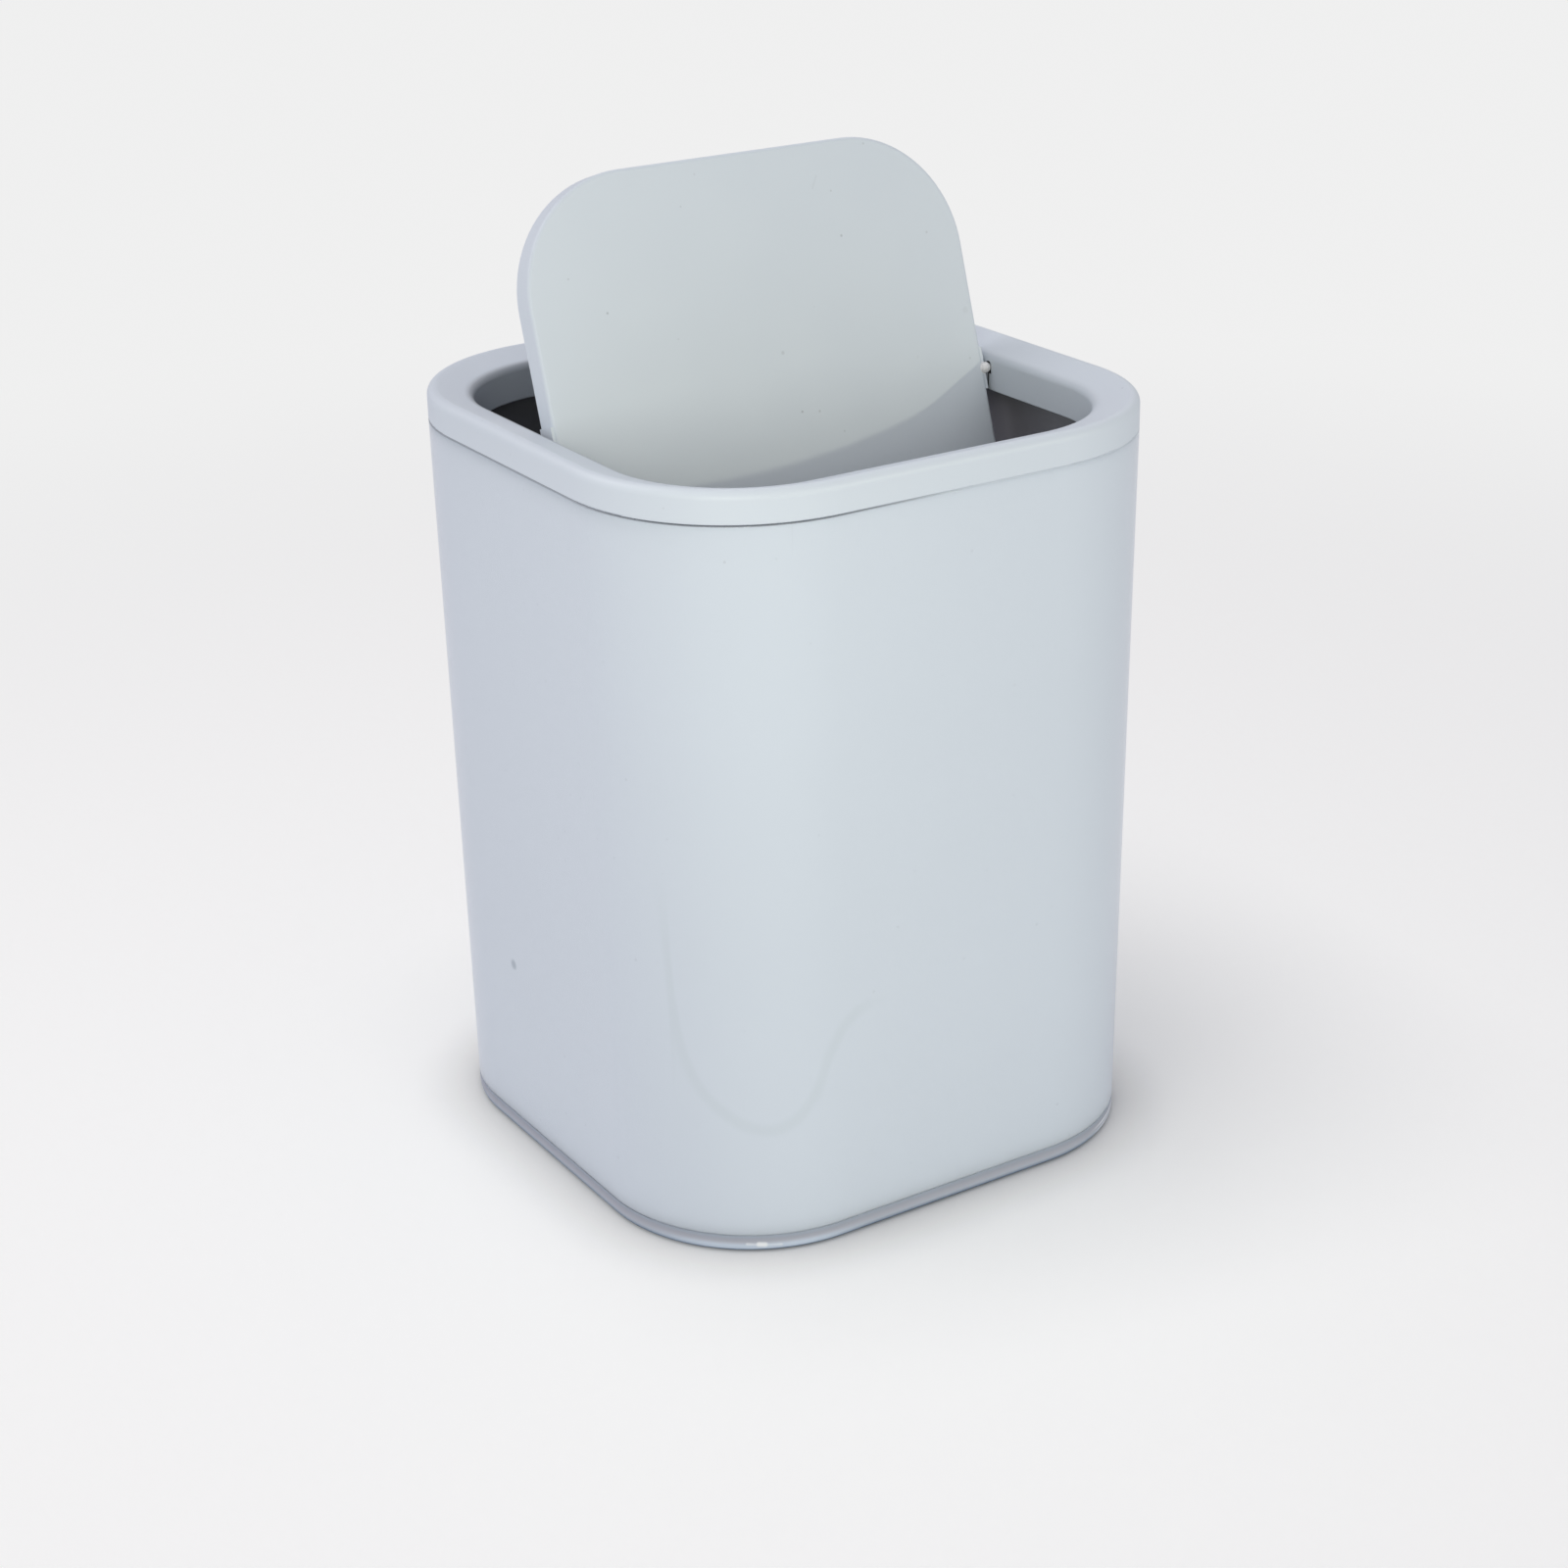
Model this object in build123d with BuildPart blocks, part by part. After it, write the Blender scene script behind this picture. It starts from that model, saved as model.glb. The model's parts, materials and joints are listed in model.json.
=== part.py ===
from build123d import *

import os
from math import cos, radians, sin, tan

# A square countertop bin with softly rounded corners: a clear outer case, coated inside, a tub nested in it,
# and a lift-off lid whose flap swings on two moulded trunnions. Lengths are in millimetres, +Z is up,
# and the origin is at the centre of the foot. The flap is drawn standing open.

# ---- Body, shared by the case, the tub and the lid ----
width = 127.0              # outside, across the flats at the mouth; the plan is square
corner_radius = 36.5       # outside, at the mouth
case_height = 157.5        # foot to mouth
draft = 0.7                # degrees that each wall leans in towards the foot

# ---- Clear outer case ----
case_wall = 2.0
case_floor = 2.45          # clear floor, above the hollow under the foot
case_hollow = 0.5          # height of that hollow
case_foot_width = 12.0     # flat ring that the bin stands on
case_foot_fillet = 1.2
case_inner_fillet = 0.6
case_lip_fillet = 0.25

# ---- Inner tub ----
tub_gap = 0.3              # air between the tub's wall and the case's wall
tub_wall = 1.5
tub_floor = 1.5
tub_foot_height = 0.3      # ring under the tub that stands on the case's floor
tub_foot_width = 4.0
tub_foot_inset = 12.0      # from the tub's wall to that ring
tub_outer_fillet = 0.9
tub_inner_fillet = 3.0
tub_lip_fillet = 0.3

# ---- Lid rim ----
rim_seam = 0.15            # shadow gap between the case's mouth and the rim
rim_height = 6.6           # from the seam to the crown
rim_width = 9.75           # from the outside to the throat
rim_side_wall = 1.8
rim_skin = 1.8             # thickness of the top, measured square to it
rim_dish = 16.5            # degrees that the top slopes down towards the throat
rim_crown_fillet = 1.8
rim_throat_fillet = 1.5
rim_edge_fillet = 0.3
throat_wall = 1.6
throat_drop = 3.2          # how far the throat wall goes below the seam
plug_wall = 1.5
plug_clearance = 0.35      # between the plug wall and the tub's inside
plug_drop = 4.5            # how far the plug wall goes below the seam
seat_depth = 3.55          # how far the tub's edge goes up into the rim

# ---- Flap ----
flap_side_gap = 1.3        # from the throat to the flap's side, where the trunnions are
flap_end_gap = 1.0         # from the throat to the flap's free ends
flap_plate = 1.8
flap_depth = 5.6           # outer face to the bottom of the skirt
flap_skirt_wall = 1.5
flap_face_fillet = 0.8
flap_skirt_fillet = 0.4
flap_rib_wall = 1.2
flap_rib_depth = 2.4       # below the plate
flap_open = 72.0           # degrees open in the stored pose

# ---- Swing axis, trunnions and bearings ----
axis_below_crown = 4.75
axis_below_face = 0.15     # the axis lies just under the flap's outer face
shoulder_radius = 1.2      # round shoulder of each trunnion, half proud of the flap
shoulder_offset = 0.4      # centre of the shoulder, out from the flap's side
journal_radius = 0.7
journal_reach = 2.4        # how far the journal goes past the throat's face
journal_tip = 0.3          # lead-in chamfer on the journal's end
pad_width = 9.0            # thrust pad on the flap's side, round each trunnion
pad_proud = 0.45
pad_below_face = 0.3       # from the flap's outer face to the pad
boss_length = 6.0          # solid boss inside the skirt, behind each trunnion
bearing_clearance = 0.05   # radial, between journal and bore
bearing_end_gap = 0.4      # beyond the journal's tip
bearing_width = 7.0
bearing_below_axis = 3.6
pocket_radius = 1.0        # round top of the pocket in the throat wall, in front of the bore
pocket_rise = 0.35         # centre of that round, above the axis
pocket_below_axis = 1.4
pocket_depth = 0.9
slot_width = 0.6           # slit from the pocket down through the throat wall, so that it springs

# ---- Sizes and places that follow ----
lean = tan(radians(draft))
floor_top = case_hollow + case_floor
tub_bottom = floor_top + tub_foot_height
tub_inset = case_wall + tub_gap
bore_inset = tub_inset + tub_wall
rim_bottom = case_height + rim_seam
rim_top = rim_bottom + rim_height
tub_top = rim_bottom + seat_depth
throat_bottom = rim_bottom - throat_drop
plug_bottom = rim_bottom - plug_drop
plug_outer = bore_inset + plug_clearance
plug_inner = plug_outer + plug_wall
throat_outer = rim_width - throat_wall
throat_half = width / 2 - rim_width
throat_corner = corner_radius - rim_width
straight = width - 2 * corner_radius
axis_height = rim_top - axis_below_crown
flap_half_width = throat_half - flap_side_gap
flap_half_length = throat_half - flap_end_gap
flap_corner = throat_corner - (flap_side_gap + flap_end_gap) / 2
shoulder_centre = flap_half_width + shoulder_offset
journal_end = throat_half + journal_reach
bearing_end = journal_end + bearing_end_gap


def body_block(bottom, top, inset, mode=Mode.ADD):
    """Adds, or cuts, the body's drafted block between two heights, set in from the case's outside."""
    shrink = (case_height - bottom) * lean + inset
    side = width - 2 * shrink
    with BuildSketch(Plane.XY.offset(bottom)) as plan:
        RectangleRounded(side, side, corner_radius - shrink)
    extrude(plan.sketch, amount=top - bottom, taper=-draft, mode=mode)


# ---- Clear outer case: one moulding, open at the top, standing on a flat ring ----
with BuildPart() as case_bore:
    body_block(floor_top, case_height, case_wall)
    fillet(case_bore.edges().group_by(Axis.Z)[0], case_inner_fillet)

with BuildPart() as outer_case:
    body_block(0, case_height, 0)
    fillet(outer_case.edges().group_by(Axis.Z)[0], case_foot_fillet)
    add(case_bore.part, mode=Mode.SUBTRACT)
    fillet(outer_case.edges().group_by(Axis.Z)[-1], case_lip_fillet)
    body_block(0, case_hollow, case_foot_fillet + case_foot_width, mode=Mode.SUBTRACT)
outer_case.part.label = "outer_case"


# ---- Inner tub: stands on the case's floor on a ring, and its edge goes up into the rim ----
with BuildPart() as tub_bore:
    body_block(tub_bottom + tub_floor, tub_top, bore_inset)
    fillet(tub_bore.edges().group_by(Axis.Z)[0], tub_inner_fillet)

with BuildPart() as inner_tub:
    body_block(tub_bottom, tub_top, tub_inset)
    fillet(inner_tub.edges().group_by(Axis.Z)[0], tub_outer_fillet)
    add(tub_bore.part, mode=Mode.SUBTRACT)
    fillet(inner_tub.edges().group_by(Axis.Z)[-1], tub_lip_fillet)
    body_block(floor_top, tub_bottom, tub_inset + tub_foot_inset)
    body_block(floor_top, tub_bottom, tub_inset + tub_foot_inset + tub_foot_width, mode=Mode.SUBTRACT)
inner_tub.part.label = "inner_tub"


# ---- Lid rim: one section all round, hollow from below, with a bearing at each end of the axis ----
dish_angle = radians(rim_dish)
dish_peak = rim_top + rim_crown_fillet * (cos(dish_angle) + (1 + sin(dish_angle)) * tan(dish_angle) - 1)


def dish_height(inward):
    """Height of the rim's sloping top at a distance in from the outer face."""
    return dish_peak - inward * tan(dish_angle)


def skin_under(inward):
    """Height of the underside of the rim's top at a distance in from the outer face."""
    return dish_height(inward) - rim_skin / cos(dish_angle)


def rim_section(wall_plane):
    """The rim's section on a plane whose x runs inward from the outer face and whose y runs up."""
    corners = [
        (0, rim_bottom, rim_edge_fillet),
        (0, dish_height(0), rim_crown_fillet),
        (rim_width, dish_height(rim_width), rim_throat_fillet),
        (rim_width, throat_bottom, rim_edge_fillet),
        (throat_outer, throat_bottom, rim_edge_fillet),
        (throat_outer, skin_under(throat_outer), 0),
        (plug_inner, skin_under(plug_inner), 0),
        (plug_inner, plug_bottom, rim_edge_fillet),
        (plug_outer, plug_bottom, rim_edge_fillet),
        (plug_outer, tub_top, 0),
        (rim_side_wall, tub_top, 0),
        (rim_side_wall, rim_bottom, 0),
    ]
    points = [(inward, height) for inward, height, radius in corners]
    radii = [radius for inward, height, radius in corners]
    with BuildSketch(wall_plane) as section:
        with BuildLine():
            FilletPolyline(*points, radius=radii, close=True)
        make_face()
    return section.sketch


def bearing_block(end_plane):
    """The block between the plug wall and the throat wall, up into the middle of the top skin."""
    plug_side = plug_inner - plug_wall / 2
    throat_side = throat_outer + throat_wall / 2
    with BuildSketch(end_plane) as block:
        with BuildLine():
            Polyline(
                (plug_side, axis_height - bearing_below_axis),
                (throat_side, axis_height - bearing_below_axis),
                (throat_side, dish_height(throat_side) - rim_skin / 2),
                (plug_side, dish_height(plug_side) - rim_skin / 2),
                close=True,
            )
        make_face()
    extrude(block.sketch, amount=bearing_width / 2, both=True)


with BuildPart() as lid_rim:
    for turn in (0, 90, 180, 270):
        outward = Vector(1, 0, 0).rotate(Axis.Z, turn)
        along = Vector(0, 1, 0).rotate(Axis.Z, turn)
        start = outward * (width / 2) - along * (straight / 2)
        finish = start + along * straight
        corner_centre = finish - outward * corner_radius
        side_section = rim_section(Plane(origin=start, x_dir=-outward, z_dir=along))
        corner_section = rim_section(Plane(origin=finish, x_dir=-outward, z_dir=along))
        extrude(side_section, amount=straight)
        revolve(corner_section, axis=Axis(corner_centre, (0, 0, 1)), revolution_arc=90)
    for turn in (0, 180):
        outward = Vector(1, 0, 0).rotate(Axis.Z, turn)
        along = Vector(0, 1, 0).rotate(Axis.Z, turn)
        bearing_block(Plane(origin=outward * (width / 2), x_dir=-outward, z_dir=along))
        throat_plane = Plane(origin=outward * throat_half, x_dir=along, z_dir=outward)
        with BuildSketch(throat_plane) as pocket:
            with Locations((0, axis_height + pocket_rise)):
                Circle(pocket_radius)
                Rectangle(
                    2 * pocket_radius,
                    pocket_rise + pocket_below_axis,
                    align=(Align.CENTER, Align.MAX),
                )
        extrude(pocket.sketch, amount=pocket_depth, mode=Mode.SUBTRACT)
        with BuildSketch(throat_plane) as bore:
            with Locations((0, axis_height)):
                Circle(journal_radius + bearing_clearance)
        extrude(bore.sketch, amount=bearing_end - throat_half, mode=Mode.SUBTRACT)
        with BuildSketch(throat_plane) as slot:
            with Locations((0, axis_height)):
                Rectangle(
                    slot_width,
                    axis_height - throat_bottom,
                    align=(Align.CENTER, Align.MAX),
                )
        extrude(slot.sketch, amount=throat_wall, mode=Mode.SUBTRACT)
lid_rim.part.label = "lid_rim"


# ---- Swing flap: a plate with a skirt, drawn square to its outer face and standing open ----
open_angle = radians(flap_open)
flap_plane = Plane(
    origin=(0, 0, axis_height),
    x_dir=(1, 0, 0),
    z_dir=(0, -sin(open_angle), cos(open_angle)),
)
face_plane = flap_plane.offset(axis_below_face)
plate_under = face_plane.offset(-flap_plate)
skirt_bottom = face_plane.offset(-flap_depth)


def flap_plan(plan_plane, inset):
    """The flap's rounded outline on a plane, set in from its edge."""
    with BuildSketch(plan_plane) as plan:
        RectangleRounded(
            2 * (flap_half_width - inset),
            2 * (flap_half_length - inset),
            flap_corner - inset,
        )
    return plan.sketch


with BuildPart() as swing_flap:
    extrude(flap_plan(skirt_bottom, 0), amount=flap_depth)
    across = Axis(face_plane.origin, face_plane.z_dir)
    fillet(swing_flap.edges().group_by(across)[-1], flap_face_fillet)
    fillet(swing_flap.edges().group_by(across)[0], flap_skirt_fillet)
    extrude(flap_plan(skirt_bottom, flap_skirt_wall), amount=flap_depth - flap_plate, mode=Mode.SUBTRACT)
    with BuildSketch(plate_under) as rib:
        Rectangle(2 * flap_half_width - flap_skirt_wall, flap_rib_wall)
    extrude(rib.sketch, amount=-flap_rib_depth)
    for side in (-1, 1):
        boss_middle = side * (flap_half_width - (flap_skirt_wall + boss_length) / 2)
        with BuildSketch(plate_under) as boss:
            with Locations((boss_middle, 0)):
                Rectangle(boss_length, pad_width)
        extrude(boss.sketch, amount=-(flap_depth - flap_plate - flap_skirt_fillet))
        pad_middle = side * (flap_half_width + (pad_proud - flap_skirt_wall) / 2)
        with BuildSketch(face_plane.offset(-pad_below_face)) as pad:
            with Locations((pad_middle, 0)):
                Rectangle(flap_skirt_wall + pad_proud, pad_width)
        extrude(pad.sketch, amount=-(flap_depth - pad_below_face - flap_skirt_fillet))
        with Locations((side * shoulder_centre, 0, axis_height)):
            Sphere(shoulder_radius)
        journal_plane = Plane(
            origin=(side * shoulder_centre, 0, axis_height),
            x_dir=(0, 1, 0),
            z_dir=(side, 0, 0),
        )
        with BuildSketch(journal_plane) as journal:
            Circle(journal_radius)
        extrude(journal.sketch, amount=journal_end - shoulder_centre)
        tip = swing_flap.edges().sort_by(Axis.X)[-1 if side > 0 else 0]
        chamfer(tip, journal_tip)
swing_flap.part.label = "swing_flap"


os.makedirs("parts", exist_ok=True)
for piece in (outer_case, inner_tub, lid_rim, swing_flap):
    export_step(piece.part, f"parts/{piece.part.label}.step")
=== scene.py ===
import json
from math import cos, radians, sin, tan

import bpy
from mathutils import Matrix, Vector


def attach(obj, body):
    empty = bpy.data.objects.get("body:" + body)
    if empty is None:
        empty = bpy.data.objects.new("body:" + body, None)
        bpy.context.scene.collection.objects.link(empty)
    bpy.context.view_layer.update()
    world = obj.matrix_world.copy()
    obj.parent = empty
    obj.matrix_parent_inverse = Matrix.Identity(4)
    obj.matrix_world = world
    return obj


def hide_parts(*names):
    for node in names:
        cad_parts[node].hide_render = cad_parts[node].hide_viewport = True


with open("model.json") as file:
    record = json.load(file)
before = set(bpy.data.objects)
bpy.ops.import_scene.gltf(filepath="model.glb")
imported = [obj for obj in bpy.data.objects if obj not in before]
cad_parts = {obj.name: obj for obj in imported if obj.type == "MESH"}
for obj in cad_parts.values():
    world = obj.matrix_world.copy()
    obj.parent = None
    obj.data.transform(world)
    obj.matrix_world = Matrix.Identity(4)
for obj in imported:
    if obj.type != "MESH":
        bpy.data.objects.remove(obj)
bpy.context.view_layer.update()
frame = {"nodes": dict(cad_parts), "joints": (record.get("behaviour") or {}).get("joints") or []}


# ---- The viewpoint ----
# Someone standing in front of the bin and to its left, looking down at the open flap. The lens is a
# longish one on a 36 mm sensor, held with a slight tilt.
camera_azimuth = -32.166
camera_elevation = 22.884
camera_distance = 0.634
camera_tilt = 1.124
camera_aim = Vector((-0.010011, -0.014915, 0.082))
camera_lens = 68.535

swing, rise, tilt = radians(camera_azimuth), radians(camera_elevation), radians(camera_tilt)
backward = Vector((sin(swing) * cos(rise), -cos(swing) * cos(rise), sin(rise)))
level = Vector((0, 0, 1)).cross(backward).normalized()
upright = backward.cross(level)
sideways = level * cos(tilt) - upright * sin(tilt)
skyward = level * sin(tilt) + upright * cos(tilt)
camera = bpy.data.objects.new("viewpoint", bpy.data.cameras.new("viewpoint"))
bpy.context.scene.collection.objects.link(camera)
camera.data.lens = camera_lens
camera.matrix_world = Matrix.Translation(camera_aim + backward * camera_distance) @ Matrix(
    (sideways, skyward, backward)
).transposed().to_4x4()
bpy.context.scene.camera = camera
bpy.context.scene.view_settings.view_transform = "Standard"


# ---- Floor and studio light ----
# A pale seamless sweep in a pale, slightly cool room, which glossy and clear things mirror a little brighter
# than it lights them. The bin's lamps are flagged off the sweep, which has a steep soft box of its own. The
# small low spot at the front right throws the rim's crisp shadow across the open flap.
backdrop = (0.657, 0.652, 0.675)
ambient = (0.504, 0.511, 0.560)
sweep_colour = (0.92, 0.92, 0.92)
sweep_white = (1.135, 1.115, 1.058)
sweep_reach = 10.0
sweep_height = -0.0001
contact_reach = 0.016
contact_depth = 0.45
contact_rays = 16
plain_from, plain_to = 0.25, 0.7
plain_white = 0.868
lamp_aim = Vector((0, 0, 0.1))
lamps = (
    # name, azimuth, elevation, distance, width, watts, tint, its flag over the sweep
    ("rear_left_box", -135, 45, 1.2, 0.8, 3.72, (1.03, 1.0, 1.045), "EXCLUDE"),
    ("rear_right_box", 135, 45, 1.2, 0.8, 1.05, (1.013, 1.0, 1.022), "EXCLUDE"),
    ("near_box", -40, 20, 0.35, 0.15, 0.275, (0.989, 1.0, 0.87), "EXCLUDE"),
    ("low_spot", 33, 15.8, 1.2, 0.02, 1.12, (0.975, 1.0, 0.78), "EXCLUDE"),
    ("front_box", 9, 20.5, 1.2, 0.8, 2.02, (0.968, 1.0, 0.86), "EXCLUDE"),
    ("sweep_box", -95, 78, 1.2, 0.7, 5.0, (1.0, 1.0, 1.0), "INCLUDE"),
)


def add_node(tree, kind, links=None, **settings):
    """A shader node of one kind, with its settings made and its inputs set or linked by name."""
    made = tree.nodes.new("ShaderNode" + kind)
    for setting, value in settings.items():
        setattr(made, setting, value)
    for name, value in (links or {}).items():
        if isinstance(value, bpy.types.NodeSocket):
            tree.links.new(value, made.inputs[name])
        else:
            made.inputs[name].default_value = value
    return made


def new_material(name):
    """An empty node material: the material, its node tree and its output node."""
    made = bpy.data.materials.new(name)
    made.use_nodes = True
    made.node_tree.nodes.clear()
    return made, made.node_tree, made.node_tree.nodes.new("ShaderNodeOutputMaterial")


def arithmetic(tree, operation, *values):
    """One arithmetic node on sockets and numbers, and its result."""
    return add_node(tree, "Math", dict(enumerate(values)), operation=operation).outputs[0]


def fade(tree, value, near, far):
    """A soft mask: 1 up to the near value, falling smoothly to 0 at the far one."""
    made = add_node(
        tree,
        "MapRange",
        {"Value": value, "From Min": near, "From Max": far, "To Min": 1.0, "To Max": 0.0},
        interpolation_type="SMOOTHSTEP",
    )
    return made.outputs["Result"]


def mixed(tree, share, first, second):
    """The colour that lies a share of the way from one colour to another."""
    made = add_node(tree, "Mix", {"Factor": share, "A": first, "B": second}, data_type="RGBA")
    return made.outputs["Result"]


sweep_mesh = bpy.data.meshes.new("sweep")
sweep_corners = ((-1, -1), (1, -1), (1, 1), (-1, 1))
sweep_mesh.from_pydata(
    [(x * sweep_reach, y * sweep_reach, sweep_height) for x, y in sweep_corners], [], [(0, 1, 2, 3)]
)
sweep = bpy.data.objects.new("sweep", sweep_mesh)
bpy.context.scene.collection.objects.link(sweep)
sweep_paper, paper, sweep_out = new_material("sweep_paper")
sweep_rays = add_node(paper, "LightPath").outputs
# Painted contact shadow: an ambient-occlusion node darkens the sweep's colour close to the bin.
painted_contact_shadow = add_node(
    paper, "AmbientOcclusion", {"Color": (*sweep_white, 1), "Distance": contact_reach}, samples=contact_rays
)
seen_white = mixed(paper, contact_depth, (*sweep_white, 1), painted_contact_shadow.outputs["Color"])
sweep_seen = mixed(paper, sweep_rays["Is Camera Ray"], (*sweep_colour, 1), seen_white)
matte = add_node(paper, "BsdfDiffuse", {"Color": sweep_seen})
glow = add_node(paper, "Emission", {"Color": (plain_white, plain_white, plain_white, 1)})
sweep_place = add_node(paper, "TexCoord").outputs["Object"]
away = add_node(paper, "VectorMath", {0: sweep_place}, operation="LENGTH")
plain = fade(paper, away.outputs["Value"], plain_to, plain_from)
plain_seen = arithmetic(paper, "MULTIPLY", plain, sweep_rays["Is Camera Ray"])
sweep_mix = add_node(paper, "MixShader", {0: plain_seen, 1: matte.outputs[0], 2: glow.outputs[0]})
paper.links.new(sweep_mix.outputs[0], sweep_out.inputs["Surface"])
sweep_mesh.materials.append(sweep_paper)

studio = bpy.data.worlds.new("studio")
bpy.context.scene.world = studio
studio.use_nodes = True
air = studio.node_tree
air.nodes.clear()
air_out = air.nodes.new("ShaderNodeOutputWorld")
seen = add_node(air, "Background", {"Color": (*backdrop, 1)})
filled = add_node(air, "Background", {"Color": (*ambient, 1)})
paths = add_node(air, "LightPath").outputs
direct = arithmetic(air, "MAXIMUM", paths["Is Camera Ray"], paths["Is Glossy Ray"])
either = arithmetic(air, "MAXIMUM", direct, paths["Is Transmission Ray"])
air_mix = add_node(air, "MixShader", {0: either, 1: filled.outputs[0], 2: seen.outputs[0]})
air.links.new(air_mix.outputs[0], air_out.inputs["Surface"])


def soft_box(name, azimuth, elevation, distance, width, watts, tint):
    """A square soft box facing the bin's middle, placed by azimuth and elevation round it."""
    turn, height = radians(azimuth), radians(elevation)
    outward = Vector((sin(turn) * cos(height), -cos(turn) * cos(height), sin(height)))
    lamp = bpy.data.lights.new(name, "AREA")
    lamp.shape = "SQUARE"
    lamp.size = width
    lamp.energy = watts
    lamp.color = tint
    box = bpy.data.objects.new(name, lamp)
    box.location = lamp_aim + outward * distance
    box.rotation_mode = "QUATERNION"
    box.rotation_quaternion = (-outward).to_track_quat("-Z", "Y")
    bpy.context.scene.collection.objects.link(box)
    return box


for name, azimuth, elevation, distance, width, watts, tint, flag in lamps:
    lamp_box = soft_box(name, azimuth, elevation, distance, width, watts, tint)
    flagged = bpy.data.collections.new(name + "_flag")
    flagged.objects.link(sweep)
    lamp_box.light_linking.receiver_collection = flagged
    flagged.collection_objects[0].light_linking.link_state = flag


# ---- Clear outer case ----
# A drafted square cup of clear, glossy styrene, injection moulded in one piece, with a thick floor.
# It stands on a flat ring. Its inside is sprayed with the blue-grey coat that shows through it.
micrometre_places = 6


def reach(node, axis, end=max):
    """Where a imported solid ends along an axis, at its far end or its near one, to the micrometre."""
    return round(end(corner[axis] for corner in frame["nodes"][node].bound_box), micrometre_places)


case_half = reach("lid_rim", 0)
case_height = reach("outer_case", 2)
case_floor = reach("inner_tub", 2, min)
case_corner = 0.0365
case_draft = 0.7
case_lean = tan(radians(case_draft))
case_arm = case_half - case_corner
case_wall = 0.002
case_hollow = 0.0005
foot_width = 0.012
foot_round = 0.0012
inner_round = 0.0006
lip_round = 0.00025
above_foot_round = 0.004
above_floor_round = 0.006
wall_rings = (0.06, 0.12)
lip_straight = 0.002
lip_start = case_height - lip_straight
corner_steps = 40
arc_steps = 6
sharp_turn = 35


def square_ring(inset, height):
    """Points round the case's drafted, rounded square at a height, set in from its outside."""
    shrink = (case_height - height) * case_lean + inset
    radius = case_corner - shrink
    points = []
    for quarter, (side, ahead) in enumerate(((1, 1), (-1, 1), (-1, -1), (1, -1))):
        for step in range(corner_steps + 1):
            turn = radians(90 * (quarter + step / corner_steps))
            across, along = side * case_arm + radius * cos(turn), ahead * case_arm + radius * sin(turn)
            points.append((across, along, height))
    return points


def lofted(name, profile):
    """A closed skin through rounded-square rings, given as (inset, height) pairs, capped at both ends."""
    rings = [square_ring(inset, height) for inset, height in profile]
    count = len(rings[0])
    faces = [list(range(count))[::-1]]
    for ring in range(len(rings) - 1):
        low, high = ring * count, (ring + 1) * count
        for step in range(count):
            after = (step + 1) % count
            faces.append([low + step, low + after, high + after, high + step])
    faces.append([(len(rings) - 1) * count + step for step in range(count)])
    made = bpy.data.meshes.new(name)
    made.from_pydata([point for ring in rings for point in ring], [], faces)
    made.shade_smooth()
    made.set_sharp_from_angle(angle=radians(sharp_turn))
    body = bpy.data.objects.new(name, made)
    bpy.context.scene.collection.objects.link(body)
    return body


def rounded(centre_inset, centre_height, radius, start, finish):
    """Points on a quarter round of a profile, from one angle to another, in degrees."""
    turns = [radians(start + (finish - start) * step / arc_steps) for step in range(arc_steps + 1)]
    return [(centre_inset + radius * cos(turn), centre_height + radius * sin(turn)) for turn in turns]


case_profile = (
    [(foot_round + foot_width, case_hollow), (foot_round + foot_width, 0)]
    + rounded(foot_round, foot_round, foot_round, 270, 180)
    + [(0, height) for height in (above_foot_round, *wall_rings, lip_start)]
    + rounded(lip_round, case_height - lip_round, lip_round, 180, 90)
    + rounded(case_wall - lip_round, case_height - lip_round, lip_round, 90, 0)
    + [(case_wall, height) for height in (lip_start, *reversed(wall_rings), above_floor_round)]
    + rounded(case_wall + inner_round, case_floor + inner_round, inner_round, 180, 270)
)
case_shell = lofted("case_shell", case_profile)
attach(case_shell, "bin")
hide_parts("outer_case")


def with_marks_and_painted_light(tree, colour, masks):
    """A colour with marks, painted light and painted shade over it, each a mask, a strength and a colour."""
    for mask, strength, laid_colour in masks:
        colour = mixed(tree, arithmetic(tree, "MULTIPLY", mask, strength), colour, (*laid_colour, 1))
    return colour


line_core = 0.2


def hairline(tree, place, low_end, high_end, width):
    """A soft thin mask along the straight line between two points of the surface."""
    along = Vector(high_end) - Vector(low_end)
    start = add_node(tree, "VectorMath", {0: place, 1: low_end}, operation="SUBTRACT")
    share = add_node(
        tree, "VectorMath", {0: start.outputs[0], 1: along / along.length_squared}, operation="DOT_PRODUCT"
    )
    held = add_node(tree, "Clamp", {0: share.outputs["Value"]})
    foot = add_node(tree, "VectorMath", {0: along, "Scale": held.outputs[0]}, operation="SCALE")
    off = add_node(tree, "VectorMath", {0: start.outputs[0], 1: foot.outputs[0]}, operation="DISTANCE")
    return fade(tree, off.outputs["Value"], width * line_core, width)


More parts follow.
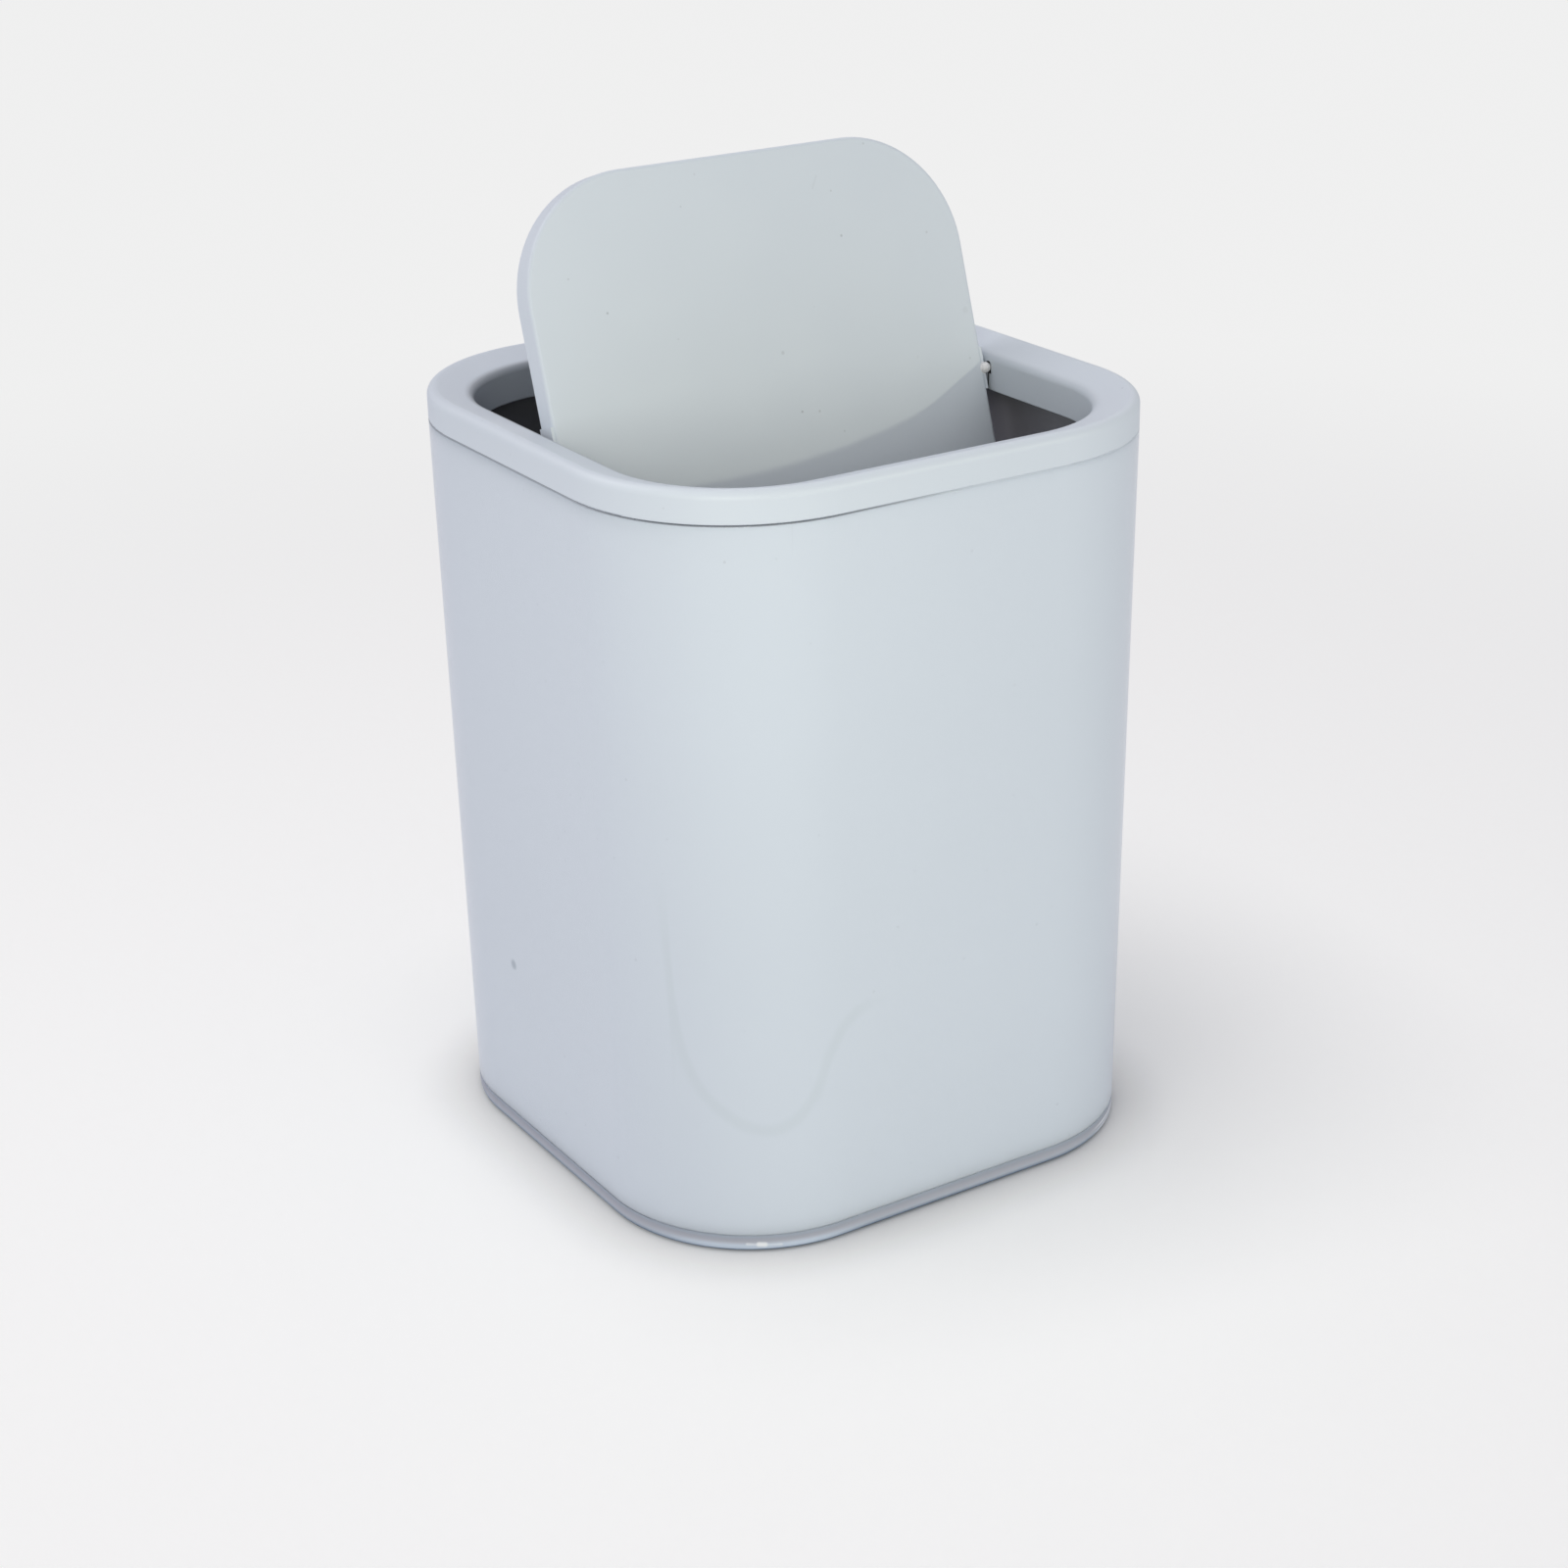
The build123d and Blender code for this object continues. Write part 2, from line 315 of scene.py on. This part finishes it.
clear_tint = (0.985, 0.993, 1.0)
lamp_tint = (0.96, 0.965, 0.97)
styrene_index = 1.55
ripple_scale = 28.0
ripple_depth = 0.00004
rub_scale = 60.0
rub_from, rub_to = 0.35, 0.75
polished, rubbed_dull = 0.015, 0.045
clear_styrene, styrene, clear_out = new_material("clear_styrene")
place = add_node(styrene, "TexCoord").outputs["Object"]
ripple = add_node(styrene, "TexNoise", {"Vector": place, "Scale": ripple_scale, "Detail": 1.0})
rippled = add_node(
    styrene, "Bump", {"Strength": 1.0, "Distance": ripple_depth, "Height": ripple.outputs["Fac"]}
)
handling = add_node(styrene, "TexNoise", {"Vector": place, "Scale": rub_scale, "Detail": 4.0})
rubbed = add_node(
    styrene,
    "MapRange",
    {
        "Value": handling.outputs["Fac"],
        "From Min": rub_from,
        "From Max": rub_to,
        "To Min": polished,
        "To Max": rubbed_dull,
    },
)
solid = add_node(
    styrene,
    "BsdfPrincipled",
    {
        "Base Color": (*clear_tint, 1),
        "Roughness": rubbed.outputs["Result"],
        "IOR": styrene_index,
        "Transmission Weight": 1.0,
        "Normal": rippled.outputs["Normal"],
    },
)
lit_through = add_node(styrene, "BsdfTransparent", {"Color": (*lamp_tint, 1)})
rays = add_node(styrene, "LightPath")
apart = add_node(styrene, "SeparateXYZ", {0: place})
above_foot = arithmetic(styrene, "GREATER_THAN", apart.outputs["Z"], case_floor)
bounced = arithmetic(styrene, "MULTIPLY", rays.outputs["Is Diffuse Ray"], above_foot)
let_through = arithmetic(styrene, "MAXIMUM", rays.outputs["Is Shadow Ray"], bounced)

# The thick clear edge of the foot is painted with light and shade in soft bands one above the other,
# standing in for light piped through the clear styrene; the lowest, dark band is a painted shadow on the
# floor line. Round the near corner the low band carries brighter painted light, with one painted white
# glint in it, and the right corner has two thin painted highlight lines.
foot_share = 0.88
foot_top = 0.0039
foot_fade = 0.0001
foot_painted_bands = (
    (0.0004, (0.12, 0.17, 0.24)),
    (0.0009, (0.32, 0.38, 0.46)),
    (0.0015, (0.52, 0.55, 0.61)),
    (0.0021, (0.51, 0.515, 0.56)),
    (0.0029, (0.44, 0.45, 0.50)),
    (0.0037, (0.40, 0.445, 0.51)),
)
bright_band_low = (0.0009, 0.0004)
bright_band_high = (0.0014, 0.0026)
bright_corner = (-0.0445, -0.0567, 0.0016)
bright_reach = (0.008, 0.028)
bright_strength, bright_colour = 0.65, (0.74, 0.83, 0.94)
glint_colour = (1.0, 1.0, 1.0)
glint_streak_low, glint_streak_high = (-0.0466, -0.0554, 0.0019), (-0.0404, -0.0587, 0.0015)
glint_streak_width, glint_streak_strength = 0.0005, 0.5
glint_core_low, glint_core_high = (-0.0445, -0.0566, 0.0018), (-0.0434, -0.0572, 0.0017)
glint_core_width, glint_core_strength = 0.0009, 1.0
highlight_line_corner = (0.0485, -0.0535, 0.0017)
highlight_line_reach = (0.004, 0.011)
highlight_line_heights = (0.0011, 0.0022)
highlight_line_soft = (0.0001, 0.00035)
highlight_line_strength, highlight_line_colour = 0.8, (0.88, 0.89, 0.95)


def distance_to(tree, place, centre):
    """How far the surface lies from a point."""
    return add_node(tree, "VectorMath", {0: place, 1: centre}, operation="DISTANCE").outputs["Value"]


# Painted light and shade: the bands, the corner's brighter light, its glint and the two highlight lines.
foot_height = arithmetic(styrene, "DIVIDE", apart.outputs["Z"], foot_top)
foot_painted_ramp = add_node(styrene, "ValToRGB", {"Fac": foot_height})
while len(foot_painted_ramp.color_ramp.elements) < len(foot_painted_bands):
    foot_painted_ramp.color_ramp.elements.new(0.5)
for band, (height, tone) in zip(foot_painted_ramp.color_ramp.elements, foot_painted_bands):
    band.position = height / foot_top
    band.color = (*tone, 1)
below_coat = fade(styrene, apart.outputs["Z"], foot_top - foot_fade, foot_top)
in_foot = arithmetic(styrene, "MULTIPLY", below_coat, foot_share)
bright_band = arithmetic(
    styrene,
    "MULTIPLY",
    fade(styrene, apart.outputs["Z"], *bright_band_low),
    fade(styrene, apart.outputs["Z"], *bright_band_high),
)
corner_painted_glow = arithmetic(
    styrene, "MULTIPLY", fade(styrene, distance_to(styrene, place, bright_corner), *bright_reach), bright_band
)
near_highlight_lines = fade(styrene, distance_to(styrene, place, highlight_line_corner), *highlight_line_reach)
corner_highlight_lines = []
for line_height in highlight_line_heights:
    above_line = arithmetic(styrene, "SUBTRACT", apart.outputs["Z"], line_height)
    on_line = fade(styrene, arithmetic(styrene, "ABSOLUTE", above_line), *highlight_line_soft)
    corner_highlight_lines.append(arithmetic(styrene, "MULTIPLY", on_line, near_highlight_lines))
foot_painted_light = with_marks_and_painted_light(
    styrene,
    foot_painted_ramp.outputs["Color"],
    (
        *((line, highlight_line_strength, highlight_line_colour) for line in corner_highlight_lines),
        (corner_painted_glow, bright_strength, bright_colour),
        (hairline(styrene, place, glint_streak_low, glint_streak_high, glint_streak_width), glint_streak_strength, glint_colour),
        (hairline(styrene, place, glint_core_low, glint_core_high, glint_core_width), glint_core_strength, glint_colour),
    ),
)
foot_painted_glow = add_node(styrene, "BsdfDiffuse", {"Color": foot_painted_light})

# Painted shade: the mouth's rounded edge is painted dark where the lid shades it, most along the left
# side and round the near corner.
lip_shade = (0.09, 0.095, 0.11)
lip_band = 0.0003
lip_corner = (-0.045, -0.055, case_height)
lip_corner_reach = (0.010, 0.040)
lip_left_reach = (-0.020, 0.010)
lip_everywhere, lip_on_left, lip_at_corner = 0.12, 0.38, 0.35
edge_shade = add_node(styrene, "BsdfDiffuse", {"Color": (*lip_shade, 1)})
near_corner = fade(styrene, distance_to(styrene, place, lip_corner), *lip_corner_reach)
left_side = fade(styrene, apart.outputs["X"], *lip_left_reach)
left_depth = arithmetic(styrene, "MULTIPLY_ADD", left_side, lip_on_left, lip_everywhere)
edge_depth = arithmetic(styrene, "MULTIPLY_ADD", near_corner, lip_at_corner, left_depth)
below_lip = arithmetic(styrene, "SUBTRACT", case_height, apart.outputs["Z"])
edge_share = arithmetic(styrene, "MULTIPLY", fade(styrene, below_lip, 0.0, lip_band), edge_depth)
footed = add_node(styrene, "MixShader", {0: in_foot, 1: solid.outputs[0], 2: foot_painted_glow.outputs[0]})
edged = add_node(styrene, "MixShader", {0: edge_share, 1: footed.outputs[0], 2: edge_shade.outputs[0]})
case_mix = add_node(styrene, "MixShader", {0: let_through, 1: edged.outputs[0], 2: lit_through.outputs[0]})
styrene.links.new(case_mix.outputs[0], clear_out.inputs["Surface"])
case_shell.data.materials.append(clear_styrene)


# ---- Coat inside the clear case ----
# A blue-grey coat sprayed on the case's inner wall and floor, in contact with the styrene, so that the
# colour reaches right to the edge of the clear wall.
coat_depth = 0.00006
coat_out_inset = case_wall - coat_depth
coat_in_inset = case_wall + coat_depth
coat_top = case_height - lip_round
coat_floor = case_floor - coat_depth / 8
coat_profile = (
    rounded(case_wall + inner_round, case_floor + inner_round, inner_round + coat_depth, 270, 180)
    + [(coat_out_inset, height) for height in (above_floor_round, *wall_rings, coat_top)]
    + [(coat_in_inset, height) for height in (coat_top, *reversed(wall_rings), above_floor_round)]
    + rounded(coat_in_inset + inner_round, coat_floor + inner_round, inner_round, 180, 270)
)
case_coat = lofted("case_coat", coat_profile)
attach(case_coat, "bin")
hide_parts("outer_case")


drift_scale, speck_scale, wear_scale = 16.0, 170.0, 75.0
speck_core, speck_edge = 0.03, 0.065
speck_colour = (0.16, 0.17, 0.18)
wear_depth = 0.12


def moulded_surface():
    """Group for moulded plastic and paint: slow colour drift, fine grain and a few trapped dark specks."""
    group = bpy.data.node_groups.new("moulded_surface", "ShaderNodeTree")
    for name, kind in (
        ("Colour", "NodeSocketColor"),
        ("Roughness", "NodeSocketFloat"),
        ("Drift", "NodeSocketFloat"),
        ("Grain Scale", "NodeSocketFloat"),
        ("Specks", "NodeSocketFloat"),
    ):
        group.interface.new_socket(name, in_out="INPUT", socket_type=kind)
    for name, kind in (
        ("Colour", "NodeSocketColor"),
        ("Roughness", "NodeSocketFloat"),
        ("Height", "NodeSocketFloat"),
    ):
        group.interface.new_socket(name, in_out="OUTPUT", socket_type=kind)
    given = group.nodes.new("NodeGroupInput").outputs
    result = group.nodes.new("NodeGroupOutput").inputs
    place = add_node(group, "TexCoord").outputs["Object"]
    flow = add_node(
        group, "TexNoise", {"Vector": place, "Scale": drift_scale, "Detail": 2.0, "Distortion": 0.4}
    )
    centred = arithmetic(group, "SUBTRACT", flow.outputs["Fac"], 0.5)
    varied = arithmetic(group, "MULTIPLY_ADD", centred, given["Drift"], 1.0)
    drifted = add_node(group, "VectorMath", {0: given["Colour"], "Scale": varied}, operation="SCALE")
    cells = add_node(group, "TexVoronoi", {"Vector": place, "Scale": speck_scale})
    small = fade(group, cells.outputs["Distance"], speck_core, speck_edge)
    shade = add_node(group, "SeparateColor", {0: cells.outputs["Color"]})
    strength = arithmetic(group, "MULTIPLY", shade.outputs[0], small)
    speckled = arithmetic(group, "MULTIPLY", strength, given["Specks"])
    coloured = mixed(group, speckled, drifted.outputs[0], (*speck_colour, 1))
    grain = add_node(group, "TexNoise", {"Vector": place, "Scale": given["Grain Scale"], "Detail": 3.0})
    worn = add_node(group, "TexNoise", {"Vector": place, "Scale": wear_scale, "Detail": 4.0})
    uneven = arithmetic(group, "SUBTRACT", worn.outputs["Fac"], 0.5)
    rough = arithmetic(group, "MULTIPLY_ADD", uneven, wear_depth, given["Roughness"])
    group.links.new(coloured, result["Colour"])
    group.links.new(rough, result["Roughness"])
    group.links.new(grain.outputs["Fac"], result["Height"])
    return group


surface_group = moulded_surface()


def moulded(tree, colour, roughness, drift, grain_scale, specks):
    """The moulded-surface group placed in a material with that material's own values."""
    made = tree.nodes.new("ShaderNodeGroup")
    made.node_tree = surface_group
    made.inputs["Colour"].default_value = (*colour, 1)
    made.inputs["Roughness"].default_value = roughness
    made.inputs["Drift"].default_value = drift
    made.inputs["Grain Scale"].default_value = grain_scale
    made.inputs["Specks"].default_value = specks
    return made.outputs


coat_colour = (0.686, 0.730, 0.779)
coat_roughness, coat_drift, coat_grain, coat_specks = 0.6, 0.03, 900.0, 0.15
coat_sheen = 0.05
coat_paint, coat_tree, coat_out = new_material("coat_paint")
coat_place = add_node(coat_tree, "TexCoord").outputs["Object"]
coat_base = moulded(coat_tree, coat_colour, coat_roughness, coat_drift, coat_grain, coat_specks)

# The coat ran a little before it set: a faint looped line hangs round the front left corner. It is drawn as
# height over the distance run round that corner, from its left flat. A dark dot and two short fine lines
# are trapped in the coat too.
run_span, rise_span = 0.08, 0.12
run_line = (
    (0.0160, 0.0950),
    (0.0190, 0.0700),
    (0.0206, 0.0510),
    (0.0240, 0.0400),
    (0.0300, 0.0328),
    (0.0380, 0.0284),
    (0.0450, 0.0288),
    (0.0510, 0.0345),
    (0.0560, 0.0450),
    (0.0600, 0.0500),
    (0.0670, 0.0520),
)
run_step = 0.0004
run_soft = (0.0003, 0.0022)
run_top = (0.060, 0.088)
run_end = (0.060, 0.070)
run_corner = (-0.036, -0.030)
run_strength, run_colour = 0.10, (0.40, 0.47, 0.44)
dot_place, dot_radius = (-0.0603, 0.0148, 0.0417), 0.0016
dot_strength, dot_colour = 0.6, (0.28, 0.33, 0.38)
foot_line = ((-0.0253, -0.0600, 0.004), (-0.0253, -0.0600, 0.0088))
foot_line_strength, foot_line_colour = 0.2, (0.36, 0.4, 0.44)
mouth_line = ((-0.0360, -0.0605, 0.151), (-0.0360, -0.0605, 0.157))
mouth_line_strength, mouth_line_colour = 0.1, (0.4, 0.4, 0.44)
line_width = 0.0003
spot_core = 0.35


def spot(tree, place, centre, radius):
    """A soft round mask about a point of the surface."""
    return fade(tree, distance_to(tree, place, centre), radius * spot_core, radius)


flat = add_node(coat_tree, "SeparateXYZ", {0: coat_place})
past_x = arithmetic(coat_tree, "ADD", flat.outputs["X"], case_arm)
past_y = arithmetic(coat_tree, "ADD", flat.outputs["Y"], case_arm)
turned = arithmetic(
    coat_tree,
    "ARCTAN2",
    arithmetic(coat_tree, "MULTIPLY", past_y, -1.0),
    arithmetic(coat_tree, "MAXIMUM", arithmetic(coat_tree, "MULTIPLY", past_x, -1.0), 0.0),
)
past_corner = arithmetic(coat_tree, "MAXIMUM", past_x, 0.0)
run = arithmetic(coat_tree, "MULTIPLY_ADD", turned, case_corner, past_corner)


def run_height(run_socket):
    """Height of the looped line at a distance run round the corner."""
    share = arithmetic(coat_tree, "DIVIDE", run_socket, run_span)
    curve = add_node(coat_tree, "FloatCurve", {"Value": share})
    widget = curve.mapping
    widget.use_clip = False
    points = widget.curves[0].points
    points[0].location = (run_line[0][0] / run_span, run_line[0][1] / rise_span)
    points[1].location = (run_line[-1][0] / run_span, run_line[-1][1] / rise_span)
    for across, up in run_line[1:-1]:
        points.new(across / run_span, up / rise_span)
    widget.update()
    return arithmetic(coat_tree, "MULTIPLY", curve.outputs[0], rise_span)


line_height = run_height(run)
ahead_height = run_height(arithmetic(coat_tree, "ADD", run, run_step))
climb = arithmetic(coat_tree, "SUBTRACT", ahead_height, line_height)
slope = arithmetic(coat_tree, "DIVIDE", climb, run_step)
stretch = arithmetic(coat_tree, "SQRT", arithmetic(coat_tree, "MULTIPLY_ADD", slope, slope, 1.0))
above_line = arithmetic(coat_tree, "SUBTRACT", flat.outputs["Z"], line_height)
off_line = arithmetic(coat_tree, "DIVIDE", arithmetic(coat_tree, "ABSOLUTE", above_line), stretch)
looped = fade(coat_tree, off_line, *run_soft)
for measure, limits in ((flat.outputs["Z"], run_top), (run, run_end), (flat.outputs["Y"], run_corner)):
    looped = arithmetic(coat_tree, "MULTIPLY", looped, fade(coat_tree, measure, *limits))
coat_marked = with_marks_and_painted_light(
    coat_tree,
    coat_base["Colour"],
    (
        (looped, run_strength, run_colour),
        (spot(coat_tree, coat_place, dot_place, dot_radius), dot_strength, dot_colour),
        (hairline(coat_tree, coat_place, *foot_line, line_width), foot_line_strength, foot_line_colour),
        (hairline(coat_tree, coat_place, *mouth_line, line_width), mouth_line_strength, mouth_line_colour),
    ),
)
coat_skin = add_node(
    coat_tree,
    "BsdfPrincipled",
    {"Base Color": coat_marked, "Roughness": coat_base["Roughness"], "Specular IOR Level": coat_sheen},
)
coat_tree.links.new(coat_skin.outputs[0], coat_out.inputs["Surface"])
case_coat.data.materials.append(coat_paint)


# ---- Inner tub ----
# A nested tub of dark, glossy styrene, injection moulded, standing on the case's floor. Only its inside
# shows, through the throat of the lid, and its right wall is painted lighter: painted light.
tub_colour = (0.09, 0.09, 0.094)
right_wall_light_colour = (0.275, 0.27, 0.295)
right_wall_light_strength = 0.85
right_wall_light_reach = (0.0595, 0.045)
tub_roughness, tub_drift, tub_grain, tub_specks = 0.22, 0.25, 600.0, 0.0
tub_relief_depth, tub_relief_strength = 0.00003, 0.35


def finish_node(node, made):
    """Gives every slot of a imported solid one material."""
    for slot in frame["nodes"][node].material_slots:
        slot.material = made


tub_plastic, tub_tree, tub_out = new_material("tub_plastic")
tub_base = moulded(tub_tree, tub_colour, tub_roughness, tub_drift, tub_grain, tub_specks)
tub_relief = add_node(
    tub_tree,
    "Bump",
    {"Strength": tub_relief_strength, "Distance": tub_relief_depth, "Height": tub_base["Height"]},
)
tub_place = add_node(tub_tree, "SeparateXYZ", {0: add_node(tub_tree, "TexCoord").outputs["Object"]})
# Painted light: the tub's colour is lightened towards its right wall, where more light reaches it.
right_wall_lit = fade(tub_tree, tub_place.outputs["X"], *right_wall_light_reach)
tub_painted_light = with_marks_and_painted_light(tub_tree, tub_base["Colour"], ((right_wall_lit, right_wall_light_strength, right_wall_light_colour),))
tub_skin = add_node(
    tub_tree,
    "BsdfPrincipled",
    {"Base Color": tub_painted_light, "Roughness": tub_base["Roughness"], "Normal": tub_relief.outputs[0]},
)
tub_tree.links.new(tub_skin.outputs[0], tub_out.inputs["Surface"])
finish_node("inner_tub", tub_plastic)


# ---- Lid rim ----
# The lid's square rim, moulded in satin grey-blue polypropylene with a very fine spark-eroded grain. It drops
# over the tub's edge, and holds the flap in a bearing pocket at each side of its throat.
satin_colour = (0.658, 0.705, 0.754)
satin_roughness, satin_drift, satin_grain, satin_specks = 0.42, 0.03, 5200.0, 0.4
satin_relief_depth, satin_relief_strength = 0.00001, 0.3
axis_height = next(joint["pos_m"][2] for joint in frame["joints"] if joint["name"] == "flap_swing")
throat_face = 0.05375
throat_centre = 0.027
throat_round = throat_face - throat_centre
throat_soft = (throat_round + 0.0004, throat_round + 0.0022)
throat_sides = (-0.020, 0.020)
throat_least, throat_left = 0.25, 0.75
throat_shade_strength, throat_shade_colour = 0.58, (0.095, 0.105, 0.125)
pocket_face = (0.0539, 0.05376)
pocket_back = (0.0566, 0.0568)
pocket_side = (0.00102, 0.00106)
pocket_top = (axis_height + 0.00137, axis_height + 0.0014)
pocket_shade_strength, pocket_shade_colour = 0.85, (0.05, 0.055, 0.06)


def satin_plastic(name, marks_and_shade):
    """The satin plastic, with small marks and painted shade over it, each a mask, a strength and a colour."""
    made, tree, out = new_material(name)
    place = add_node(tree, "TexCoord").outputs["Object"]
    base = moulded(tree, satin_colour, satin_roughness, satin_drift, satin_grain, satin_specks)
    relief = add_node(
        tree,
        "Bump",
        {"Strength": satin_relief_strength, "Distance": satin_relief_depth, "Height": base["Height"]},
    )
    laid = [(mask_maker(tree, place), strength, tone) for mask_maker, strength, tone in marks_and_shade]
    skin = add_node(
        tree,
        "BsdfPrincipled",
        {
            "Base Color": with_marks_and_painted_light(tree, base["Colour"], laid),
            "Roughness": base["Roughness"],
            "Normal": relief.outputs[0],
        },
    )
    tree.links.new(skin.outputs[0], out.inputs["Surface"])
    return made


def mirrored(tree, place):
    """The place with both its sides made positive, so that a mask on it falls on both sides alike."""
    return add_node(tree, "VectorMath", {0: place}, operation="ABSOLUTE").outputs[0]


def throat_painted_shade(tree, place):
    """Painted shade on the upright walls of the throat, darkest on the left."""
    past = add_node(
        tree,
        "VectorMath",
        {0: mirrored(tree, place), 1: (throat_centre, throat_centre, 0)},
        operation="SUBTRACT",
    )
    kept = add_node(tree, "VectorMath", {0: past.outputs[0], 1: (0, 0, 0)}, operation="MAXIMUM")
    flat = add_node(tree, "VectorMath", {0: kept.outputs[0], 1: (1, 1, 0)}, operation="MULTIPLY")
    out = add_node(tree, "VectorMath", {0: flat.outputs[0]}, operation="LENGTH")
    sides = add_node(tree, "SeparateXYZ", {0: place})
    leftward = fade(tree, sides.outputs["X"], *throat_sides)
    shade_share = arithmetic(tree, "MULTIPLY_ADD", leftward, throat_left, throat_least)
    return arithmetic(tree, "MULTIPLY", fade(tree, out.outputs["Value"], *throat_soft), shade_share)


def bearing_pocket_shade(tree, place):
    """Painted shade on the walls of the pocket and slot in the throat."""
    flat = add_node(tree, "SeparateXYZ", {0: mirrored(tree, place)})
    past_face = fade(tree, flat.outputs["X"], *pocket_face)
    before_end = fade(tree, flat.outputs["X"], *pocket_back)
    near_axis = fade(tree, flat.outputs["Y"], *pocket_side)
    below_top = fade(tree, flat.outputs["Z"], *pocket_top)
    inside = arithmetic(tree, "MULTIPLY", past_face, before_end)
    return arithmetic(tree, "MULTIPLY", inside, arithmetic(tree, "MULTIPLY", near_axis, below_top))


# The rim's marks are painted shade: its throat walls and bearing pockets are darkened in colour.
rim_painted_shade = (
    (throat_painted_shade, throat_shade_strength, throat_shade_colour),
    (bearing_pocket_shade, pocket_shade_strength, pocket_shade_colour),
)
finish_node("lid_rim", satin_plastic("rim_plastic", rim_painted_shade))


# ---- Swing flap ----
# The flap is a plate with a skirt, moulded in the rim's own satin plastic. Its two round trunnions snap into
# the rim's bearing pockets. It stands open, leaning back a little, and carries a few small marks of use.
open_lean = radians(72)
scratch_low, scratch_high, scratch_width = (0.0176, 0.0432), (0.0190, 0.0456), 0.0004
scratch_strength, scratch_colour = 0.16, (0.40, 0.42, 0.46)
scuff_place, scuff_radius, scuff_strength = (0.0503, 0.0129), 0.0010, 0.12
fleck_place, fleck_radius, fleck_strength = (0.0032, 0.0108), 0.0006, 0.3
rubbed_colour = (0.34, 0.36, 0.38)
shoulder_centre = (0.05285, 0.0, axis_height)
shoulder_soft = (0.00124, 0.00134)
shoulder_strength, shoulder_colour = 0.9, (0.90, 0.88, 0.87)


def on_flap(across, above):
    """A point of the open flap's outer face, across it and up it from the swing axis."""
    return (across, above * cos(open_lean), axis_height + above * sin(open_lean))


def scratch(tree, place):
    """A short faint scratch near the flap's top."""
    return hairline(tree, place, on_flap(*scratch_low), on_flap(*scratch_high), scratch_width)


def scuff(tree, place):
    """A rubbed place near the right trunnion."""
    return spot(tree, place, on_flap(*scuff_place), scuff_radius)


def fleck(tree, place):
    """A trapped fleck low on the flap's face."""
    return spot(tree, place, on_flap(*fleck_place), fleck_radius)


def trunnion_ball(tree, place):
    """The round shoulders of both trunnions, coloured paler and more neutral than the satin round them."""
    return fade(tree, distance_to(tree, mirrored(tree, place), shoulder_centre), *shoulder_soft)


flap_marks = (
    (scratch, scratch_strength, scratch_colour),
    (scuff, scuff_strength, rubbed_colour),
    (fleck, fleck_strength, rubbed_colour),
    (trunnion_ball, shoulder_strength, shoulder_colour),
)
finish_node("swing_flap", satin_plastic("flap_plastic", flap_marks))
